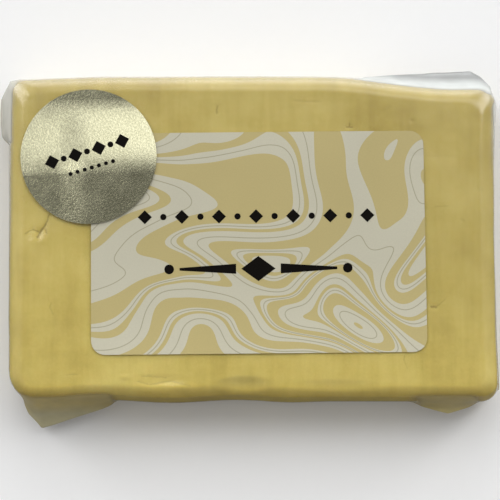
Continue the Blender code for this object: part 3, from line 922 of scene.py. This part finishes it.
PAPER_CREAM = (0.525, 0.50, 0.383, 1.0)
PAPER_OCHRE = (0.465, 0.385, 0.162, 1.0)
PAPER_LINE = (0.31, 0.285, 0.18, 1.0)
LINE_STRENGTH = 0.75

# Painted light: the label is a little brighter at its lower side than above: where, in metres, and how bright
PAPER_PAINTED_LIGHT = ((-0.030, -0.005), (1.03, 0.88))
FIBRE_SHARE, CLOUD_SHARE = 0.16, 0.12


def paper_material():
    """Satin cream paper, printed with ochre marbling and fine contour lines, painted brighter at its lower
    side.
    """
    made, tree, output, place = new_material("marbled_paper")
    bands, lines = marble_masks(tree, place)
    fibre = fine_noise(tree, place, 2600.0, 3.0, 0.6)
    cloudy = fine_noise(tree, place, 45.0)
    colour = blend_colour(tree, bands, PAPER_CREAM, PAPER_OCHRE)
    colour = blend_colour(tree, maths(tree, "MULTIPLY", lines, LINE_STRENGTH), colour, PAPER_LINE)
    # Painted light, brighter at the label's lower side
    where, levels = PAPER_PAINTED_LIGHT
    level = ramp(tree, node(tree, "SeparateXYZ", {0: place}).outputs[1], *where, *levels)
    level = maths(tree, "MULTIPLY_ADD", cloudy, CLOUD_SHARE, level)
    level = maths(tree, "MULTIPLY_ADD", fibre, FIBRE_SHARE, level)
    cover(tree, output, {
        "Base Color": vectors(tree, "MULTIPLY", colour, level),
        "Roughness": ramp(tree, fibre, 0.0, 1.0, 0.40, 0.52),
        "Normal": bump_map(tree, 0.08, 0.00008, fibre),
    })
    return made


FOIL_PALE = (0.72, 0.70, 0.48, 1.0)
FOIL_DEEP = (0.56, 0.545, 0.36, 1.0)

# The bump of a slight bend in the foil, which gathers the light in a band: its fall in millimetres, where it
# begins and ends in radii from the sticker's centre, and its turn. The grain's height is in millimetres too.
FOIL_BEND = 3.3
BEND_START, BEND_END = -0.27, 0.86
BEND_TURN = math.radians(2.0)
FOIL_GRAIN = 0.032


def foil_material():
    """Champagne foil with a fine grain, and a bump as of a slight bend."""
    made, tree, output, place = new_material("champagne_foil")
    grain = fine_noise(tree, place, 1900.0, 3.0, 0.65)
    cloudy = fine_noise(tree, place, 140.0, 3.0, 0.6)
    tone = maths(tree, "MULTIPLY_ADD", grain, 0.75, maths(tree, "MULTIPLY", cloudy, 0.25))
    centre = (STICKER_CENTRE[0] * MM, STICKER_CENTRE[1] * MM, 0.0)
    radius = STICKER_RADIUS * MM
    across = (-math.sin(BEND_TURN) / radius, math.cos(BEND_TURN) / radius, 0.0)
    reach = vectors(tree, "DOT_PRODUCT", vectors(tree, "SUBTRACT", place, centre), across, output=1)
    height = ramp(tree, reach, BEND_START, BEND_END, 0.0, -FOIL_BEND, "SMOOTHSTEP")
    height = maths(tree, "MULTIPLY_ADD", grain, FOIL_GRAIN, height)
    cover(tree, output, {
        "Base Color": blend_colour(tree, ramp(tree, tone, 0.40, 0.60), FOIL_DEEP, FOIL_PALE),
        "Metallic": 1.0,
        "Roughness": ramp(tree, cloudy, 0.3, 0.7, 0.16, 0.20),
        "Normal": bump_map(tree, 1.0, MM, height),
    })
    return made


INK_DEEP, INK_PALE = (0.003, 0.003, 0.002, 1.0), (0.008, 0.006, 0.005, 1.0)


def ink_material():
    """Near-black printing ink."""
    made, tree, output, place = new_material("dark_ink")
    speck = fine_noise(tree, place, 2500.0)
    cover(tree, output, {
        "Base Color": blend_colour(tree, speck, INK_DEEP, INK_PALE),
        "Roughness": ramp(tree, speck, 0.0, 1.0, 0.38, 0.5),
        "Specular IOR Level": 0.04,
    })
    return made


STRIP_POINTS, LEAST_HALF_WIDTH = 25, 0.02


def print_shapes(name, shapes, height, material):
    """Flat printed shapes that lie on a surface, each a strip: centre, turn, half-length and outline."""
    points, faces = [], []
    along = np.linspace(-1.0, 1.0, STRIP_POINTS)
    for (centre_x, centre_y), turn, half_length, half_width in shapes:
        first = len(points)
        for side in (-1.0, 1.0):
            u, v = along * half_length, side * np.maximum(half_width(along), LEAST_HALF_WIDTH)
            x = centre_x + u * math.cos(turn) - v * math.sin(turn)
            y = centre_y + u * math.sin(turn) + v * math.cos(turn)
            points += np.stack([x, y, height(x, y) + INK_LIFT], axis=1).tolist()
        near = first + np.arange(STRIP_POINTS)
        far = near + STRIP_POINTS
        faces += quads(near[:-1], near[1:], far[1:], far[:-1])
    return thickened(new_piece(name, points, faces, material), INK_THICKNESS)


def lozenge(size):
    return lambda along: size * (1.0 - np.abs(along))


def dot(size):
    return lambda along: size * np.sqrt(np.maximum(1.0 - along**2, 0.0))


def taper(thick, thin):
    return lambda along: mix(thin, thick, (along + 1.0) / 2.0)


def mixed_row(count, place, turn, lozenge_size, dot_size):
    """A row of lozenges with dots between them. place gives the centre that many steps off the middle."""
    shapes = []
    for step in range(count):
        size, form = (lozenge_size, lozenge) if step % 2 == 0 else (dot_size, dot)
        shapes.append((place(step - count // 2), turn, size, form(size)))
    return shapes


# The label's row, and the divider below it: a lozenge between two tapered bars with dots at their thin ends
LABEL_ROW = {"count": 13, "lozenge_size": 1.9, "dot_size": 0.85}
LABEL_ROW_START, LABEL_ROW_PITCH, LABEL_ROW_Y = -0.5, 5.0, 7.0
DIVIDER_Y = -7.2
BAR_X, BAR_HALF_LENGTH, BAR_WIDTHS = 13.6, 7.6, (1.35, 0.35)
END_DOT_X, END_DOT_SIZE = 24.0, 1.3
MIDDLE_HALF_LENGTH, MIDDLE_SIZE = 4.6, 3.4

# The sticker's two slanted rows
STICKER_ROW = {"count": 7, "lozenge_size": 2.0, "dot_size": 0.8}
STICKER_ROW_TURN, STICKER_ROW_PITCH, STICKER_ROW_RISE = math.radians(17.0), 3.3, 1.4
SMALL_DOTS, SMALL_DOT_SIZE, SMALL_DOT_PITCH, SMALL_DOT_DROP = 7, 0.55, 2.0, 3.2


def label_shapes():
    """A row of lozenges and dots above a wide divider."""

    def place(step):
        return label_plan(LABEL_ROW_START + step * LABEL_ROW_PITCH, LABEL_ROW_Y)

    shapes = mixed_row(place=place, turn=LABEL_TURN, **LABEL_ROW)
    for side in (-1.0, 1.0):
        turn = LABEL_TURN if side < 0 else LABEL_TURN + math.pi
        shapes.append((label_plan(side * BAR_X, DIVIDER_Y), turn, BAR_HALF_LENGTH, taper(*BAR_WIDTHS)))
        centre = label_plan(side * END_DOT_X, DIVIDER_Y)
        shapes.append((centre, LABEL_TURN, END_DOT_SIZE, dot(END_DOT_SIZE)))
    shapes.append((label_plan(0.0, DIVIDER_Y), LABEL_TURN, MIDDLE_HALF_LENGTH, lozenge(MIDDLE_SIZE)))
    return shapes


def sticker_shapes():
    """A slanted row of lozenges and dots above one of small dots."""
    turn = STICKER_ROW_TURN
    across = np.array([math.cos(turn), math.sin(turn)])
    upward = np.array([-math.sin(turn), math.cos(turn)])

    def place(step):
        return STICKER_CENTRE + across * step * STICKER_ROW_PITCH + upward * STICKER_ROW_RISE

    shapes = mixed_row(place=place, turn=turn, **STICKER_ROW)
    for step in range(SMALL_DOTS):
        off = step - SMALL_DOTS // 2
        centre = STICKER_CENTRE + across * off * SMALL_DOT_PITCH - upward * SMALL_DOT_DROP
        shapes.append((centre, turn, SMALL_DOT_SIZE, dot(SMALL_DOT_SIZE)))
    return shapes


def make_prints():
    ink = ink_material()
    print_shapes("label_ornament", label_shapes(), label_top, ink)
    print_shapes("sticker_ornament", sticker_shapes(), sticker_top, ink)


FLOOR_REACH = 3.0
FLOOR_PALE, FLOOR_PALER = (0.95, 0.95, 0.95, 1.0), (0.97, 0.97, 0.97, 1.0)
BOUNCE_GREY, BOUNCE_PALE = (0.32, 0.31, 0.29, 1.0), (0.85, 0.85, 0.84, 1.0)
BOUNCE_EDGE = (0.0, 0.06)


def make_floor():
    """A wide floor, pale to the eye. Its bounce light is a grey table's, and pale beyond the upper edge."""
    made, tree, output, place = new_material("pale_floor")
    pale = blend_colour(tree, fine_noise(tree, place, 300.0, 3.0), FLOOR_PALE, FLOOR_PALER)
    beyond = ramp(tree, node(tree, "SeparateXYZ", {0: place}).outputs[1], *BOUNCE_EDGE)
    bounce = blend_colour(tree, beyond, BOUNCE_GREY, BOUNCE_PALE)
    seen = node(tree, "LightPath").outputs["Is Camera Ray"]
    cover(tree, output, {"Base Color": blend_colour(tree, seen, bounce, pale), "Roughness": 0.75})
    corners = [(x * FLOOR_REACH, y * FLOOR_REACH, 0.0) for x, y in ((-1, -1), (1, -1), (1, 1), (-1, 1))]
    mesh = bpy.data.meshes.new("floor")
    mesh.from_pydata(corners, [], [(0, 1, 2, 3)])
    mesh.materials.append(made)
    floor = bpy.data.objects.new("floor", mesh)
    bpy.context.scene.collection.objects.link(floor)


# The room round the pack, by direction: `towards` is 1 beyond the pack's upper edge, `up` is 1 straight above
# and x is 1 at its right. Each pair is where a part begins and where it is at full brightness.
WINDOW_SIDES, WINDOW_TOP = (0.93, 0.975), (0.85, 0.15)
WALL_INNER, WALL_OUTER, WALL_TOP = (0.88, 0.78), (0.5, 0.6), (0.96, 0.90)
PANEL_LOW, PANEL_HIGH, PANEL_SIDES, PANEL_LEFT = (0.66, 0.74), (0.92, 0.87), (0.5, 0.7), (-0.20, -0.05)
SIDE_OUT, SIDE_NEAR = (0.25, 0.60), (-0.6, 0.1)
CEILING = (0.95, 0.98)

# Brightness of those parts, of the rest of the room and of what the camera sees behind the floor
WINDOW_GLOW, WALL_GLOW, PANEL_GLOW, SIDE_GLOW, CEILING_GLOW = 2.6, 3.4, 1.3, 0.25, -0.21
ROOM_GLOW, BACKDROP_GLOW = 0.34, 0.88
LEAST_LEVEL = 0.001


def make_lights():
    """A dim room with a low window beyond the pack's upper edge, lit walls beside it and a panel above it."""
    world = bpy.data.worlds.new("room")
    world.use_nodes = True
    tree = world.node_tree
    tree.nodes.clear()
    x, y, up = node(tree, "SeparateXYZ", {0: node(tree, "TexCoord").outputs["Generated"]}).outputs
    level = maths(tree, "SQRT", maths(tree, "MULTIPLY_ADD", x, x, maths(tree, "MULTIPLY", y, y)))
    towards = maths(tree, "DIVIDE", y, maths(tree, "MAXIMUM", level, LEAST_LEVEL))
    aside = maths(tree, "ABSOLUTE", x)
    parts = (
        (WINDOW_GLOW, (towards, WINDOW_SIDES), (up, WINDOW_TOP)),
        (WALL_GLOW, (towards, WALL_INNER), (towards, WALL_OUTER), (up, WALL_TOP)),
        (PANEL_GLOW, (up, PANEL_LOW), (up, PANEL_HIGH), (towards, PANEL_SIDES), (x, PANEL_LEFT)),
        (SIDE_GLOW, (aside, SIDE_OUT), (y, SIDE_NEAR)),
        (CEILING_GLOW, (up, CEILING)),
    )
    strength = ROOM_GLOW
    for glow, *ranges in parts:
        part = product(tree, *(ramp(tree, value, *limits) for value, limits in ranges))
        strength = maths(tree, "MULTIPLY_ADD", part, glow, strength)
    seen = node(tree, "LightPath").outputs["Is Camera Ray"]
    strength = maths(tree, "MAXIMUM", strength, maths(tree, "MULTIPLY", seen, BACKDROP_GLOW))
    background = node(tree, "Background", {"Color": (1.0, 1.0, 1.0, 1.0), "Strength": strength})
    node(tree, "OutputWorld", {0: background.outputs[0]})
    bpy.context.scene.world = world


def make_camera():
    data = bpy.data.cameras.new("camera")
    data.sensor_width = 36.0
    data.lens = data.sensor_width * FOCAL_PIXELS / PHOTO_PIXELS
    camera = bpy.data.objects.new("camera", data)
    back = Vector((0.0, -math.sin(CAMERA_TILT), math.cos(CAMERA_TILT)))
    camera.location = (Vector(CAMERA_AIM) + back * CAMERA_DISTANCE) * MM
    camera.rotation_mode = "QUATERNION"
    camera.rotation_quaternion = (-back).to_track_quat("-Z", "Y")
    bpy.context.scene.collection.objects.link(camera)
    bpy.context.scene.camera = camera


def main():
    bpy.context.scene.view_settings.view_transform = "Standard"
    make_camera()
    cheese = make_cheese()
    film = make_film()
    label = make_label()
    sticker = make_sticker()
    make_prints()
    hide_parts("cheese_pack")
    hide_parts("cheese_pack")
    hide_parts("front_label")
    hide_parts("round_sticker")
    make_floor()
    make_lights()


main()
